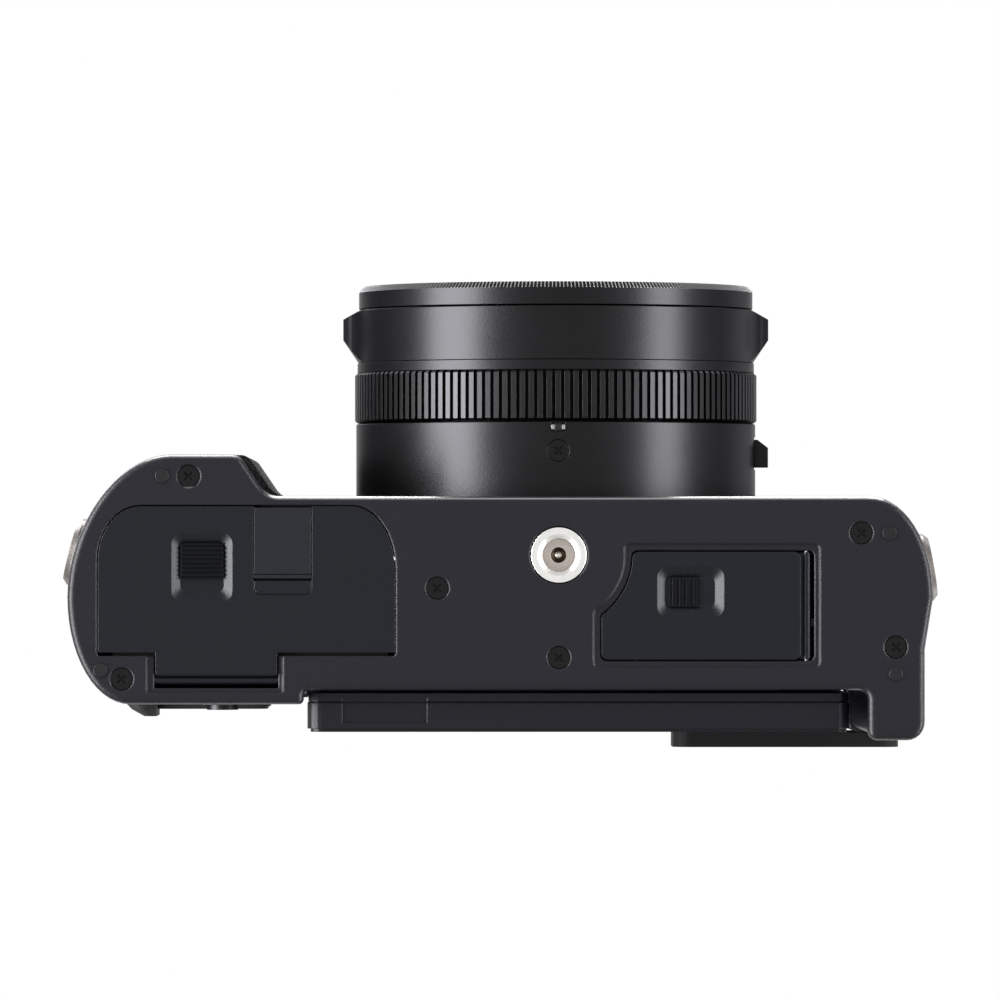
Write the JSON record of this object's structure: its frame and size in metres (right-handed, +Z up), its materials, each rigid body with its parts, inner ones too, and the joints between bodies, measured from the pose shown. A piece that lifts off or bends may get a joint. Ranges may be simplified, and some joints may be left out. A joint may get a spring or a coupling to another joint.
{
  "type": "fixed-lens digital camera",
  "caption": "Compact fixed-lens camera in rangefinder style with hand grip, corner finder, tilting screen, top dials, hinged battery and card doors and a tripod socket.",
  "frame": {"origin": "centre of the bounding box in X and Y, on the plane that the four feet stand on", "axes": "X is the camera's width with the hand grip at -X, the lens points to -Y, Z is up; the tripod socket opens to -Z"},
  "size_m": [0.1412, 0.0736, 0.0901],
  "materials": {
    "black_plate": "fine matte black paint",
    "black_lens": "satin black anodised look",
    "black_plastic": "matte black",
    "covering": "pebbled black covering",
    "black_rubber": "soft matte black",
    "silver_metal": "turned and bead blasted",
    "lug_metal": "warm brushed metal",
    "steel": "plain steel",
    "black_screw": "blackened screw",
    "glass": "coated glass",
    "screen_glass": "black display glass",
    "cell": "battery sleeve",
    "board": "circuit board",
    "card": "memory card"
  },
  "bodies": {
    "body": {"bottom_plate": "black_plate", "plate_feet": "black_rubber", "bottom_screws": "black_screw", "tripod_socket": "silver_metal", "front_casing": "black_plate", "rear_casing": "black_plate", "grip_cover": "covering", "top_plate": "black_plate", "main_frame": "steel", "battery_box": "black_plastic", "battery": "cell", "card_slot": "steel", "memory_card": "card", "main_board": "board", "sensor_unit": "board", "lens_barrel": "black_lens", "barrel_screw": "black_screw", "spacer_ring": "black_lens", "filter_ring": "black_lens", "front_glass": "glass", "iris_blades": "black_lens", "hot_shoe": "silver_metal", "top_bracket": "steel", "finder_tube": "black_plastic", "finder_window": "glass", "eyepiece_frame": "black_plastic", "eyepiece_glass": "glass", "eyecup": "black_rubber", "strap_lugs": "lug_metal", "port_block": "black_plastic", "hinge_pins": "steel", "thumb_rest": "black_rubber"},
    "focus_cell": {"focus_cell": "black_lens", "rear_glass": "glass"},
    "screen": {"screen_frame": "black_plastic", "screen_glass": "screen_glass"},
    "focus_ring": {"focus_ring": "black_lens"},
    "aperture_ring": {"aperture_ring": "black_lens"},
    "focus_lever": {"focus_lever": "black_lens"},
    "battery_door": {"battery_door": "black_plate"},
    "battery_latch": {"battery_latch": "black_plastic"},
    "cable_flap": {"cable_flap": "black_rubber"},
    "card_door": {"card_door": "black_plate"},
    "card_latch": {"card_latch": "black_plastic"},
    "screen_arm": {"screen_arm": "steel"},
    "shutter_button": {"shutter_button": "silver_metal"},
    "power_lever": {"power_lever": "black_lens"},
    "shutter_dial": {"shutter_dial": "black_lens"},
    "iso_sleeve": {"iso_sleeve": "steel"},
    "iso_ring": {"iso_ring": "black_lens"},
    "comp_dial": {"comp_dial": "black_lens"},
    "front_dial": {"front_dial": "black_lens"},
    "rear_dial": {"rear_dial": "black_lens"},
    "stick_gimbal": {"stick_gimbal": "steel"},
    "focus_stick": {"focus_stick": "black_plastic"},
    "menu_button": {"menu_button": "black_plastic"},
    "play_button": {"play_button": "black_plastic"},
    "back_button": {"back_button": "black_plastic"},
    "diopter_knob": {"diopter_knob": "black_plastic"},
    "port_door": {"port_door": "black_rubber"}
  },
  "joints": [
    {"name": "focus_turn", "type": "hinge", "parent": "body", "child": "focus_ring", "pos_m": [0.00865, -0.0193, 0.0403], "axis": [0, -1, 0], "continuous": true},
    {"name": "aperture_turn", "type": "hinge", "parent": "body", "child": "aperture_ring", "pos_m": [0.00865, -0.0293, 0.0403], "axis": [0, -1, 0], "range_deg": [-40, 40]},
    {"name": "focus_mode", "type": "hinge", "parent": "body", "child": "focus_lever", "pos_m": [0.00865, -0.0103, 0.0403], "axis": [0, -1, 0], "range_deg": [0, 25]},
    {"name": "focus_travel", "type": "slide", "parent": "body", "child": "focus_cell", "axis": [0, -1, 0], "range_m": [0, 0.002]},
    {"name": "battery_door_hinge", "type": "hinge", "parent": "body", "child": "battery_door", "pos_m": [-0.0441, 0.025, 0.0016], "axis": [1, 0, 0], "range_deg": [0, 90]},
    {"name": "battery_latch_slide", "type": "slide", "parent": "battery_door", "child": "battery_latch", "axis": [0, 1, 0], "range_m": [0, 0.0019]},
    {"name": "cable_flap_hinge", "type": "hinge", "parent": "battery_door", "child": "cable_flap", "pos_m": [-0.03385, 0.009, 0.0009], "axis": [1, 0, 0], "range_deg": [0, 70]},
    {"name": "card_door_hinge", "type": "hinge", "parent": "body", "child": "card_door", "pos_m": [0.04685, 0.0135, 0.0016], "axis": [0, -1, 0], "range_deg": [0, 90]},
    {"name": "card_latch_slide", "type": "slide", "parent": "card_door", "child": "card_latch", "axis": [1, 0, 0], "range_m": [0, 0.0018]},
    {"name": "screen_arm_hinge", "type": "hinge", "parent": "body", "child": "screen_arm", "pos_m": [0.01165, 0.02605, 0.004], "axis": [-1, 0, 0], "range_deg": [0, 28]},
    {"name": "screen_tilt", "type": "hinge", "parent": "screen_arm", "child": "screen", "pos_m": [0.01165, 0.0276, 0.0605], "axis": [1, 0, 0], "range_deg": [0, 90]},
    {"name": "shutter_press", "type": "slide", "parent": "body", "child": "shutter_button", "axis": [0, 0, -1], "range_m": [0, 0.0012], "stiffness_N_per_m": 400},
    {"name": "power_turn", "type": "hinge", "parent": "body", "child": "power_lever", "pos_m": [-0.05135, 0.0012, 0.0853], "axis": [0, 0, 1], "range_deg": [0, 40]},
    {"name": "shutter_speed_turn", "type": "hinge", "parent": "body", "child": "shutter_dial", "pos_m": [-0.02435, 0.0117, 0.0863], "axis": [0, 0, 1], "continuous": true},
    {"name": "sensitivity_lift", "type": "slide", "parent": "body", "child": "iso_sleeve", "axis": [0, 0, 1], "range_m": [0, 0.0015], "stiffness_N_per_m": 200},
    {"name": "sensitivity_turn", "type": "hinge", "parent": "iso_sleeve", "child": "iso_ring", "pos_m": [-0.02435, 0.0117, 0.0853], "axis": [0, 0, 1], "range_deg": [-160, 160]},
    {"name": "exposure_turn", "type": "hinge", "parent": "body", "child": "comp_dial", "pos_m": [-0.05285, 0.0189, 0.0853], "axis": [0, 0, 1], "range_deg": [-140, 140]},
    {"name": "front_dial_turn", "type": "hinge", "parent": "body", "child": "front_dial", "pos_m": [-0.04985, -0.003, 0.0733], "axis": [0, 0, 1], "continuous": true},
    {"name": "rear_dial_turn", "type": "hinge", "parent": "body", "child": "rear_dial", "pos_m": [-0.04685, 0.0229, 0.0733], "axis": [0, 0, 1], "continuous": true},
    {"name": "stick_up_down", "type": "hinge", "parent": "body", "child": "stick_gimbal", "pos_m": [-0.04435, 0.0248, 0.0443], "axis": [1, 0, 0], "range_deg": [-8, 8], "stiffness_Nm_per_rad": 0.02},
    {"name": "stick_left_right", "type": "hinge", "parent": "stick_gimbal", "child": "focus_stick", "pos_m": [-0.04435, 0.0248, 0.0443], "axis": [0, 0, 1], "range_deg": [-8, 8], "stiffness_Nm_per_rad": 0.02},
    {"name": "menu_press", "type": "slide", "parent": "body", "child": "menu_button", "axis": [0, -1, 0], "range_m": [0, 0.0004], "stiffness_N_per_m": 400},
    {"name": "play_press", "type": "slide", "parent": "body", "child": "play_button", "axis": [0, -1, 0], "range_m": [0, 0.0004], "stiffness_N_per_m": 400},
    {"name": "back_press", "type": "slide", "parent": "body", "child": "back_button", "axis": [0, -1, 0], "range_m": [0, 0.0004], "stiffness_N_per_m": 400},
    {"name": "diopter_turn", "type": "hinge", "parent": "body", "child": "diopter_knob", "pos_m": [0.06565, 0.0253, 0.0748], "axis": [1, 0, 0], "range_deg": [-120, 120]},
    {"name": "port_door_hinge", "type": "hinge", "parent": "body", "child": "port_door", "pos_m": [0.0637, 0.0301, 0.0363], "axis": [0, 0, 1], "range_deg": [0, 90]}
  ]
}
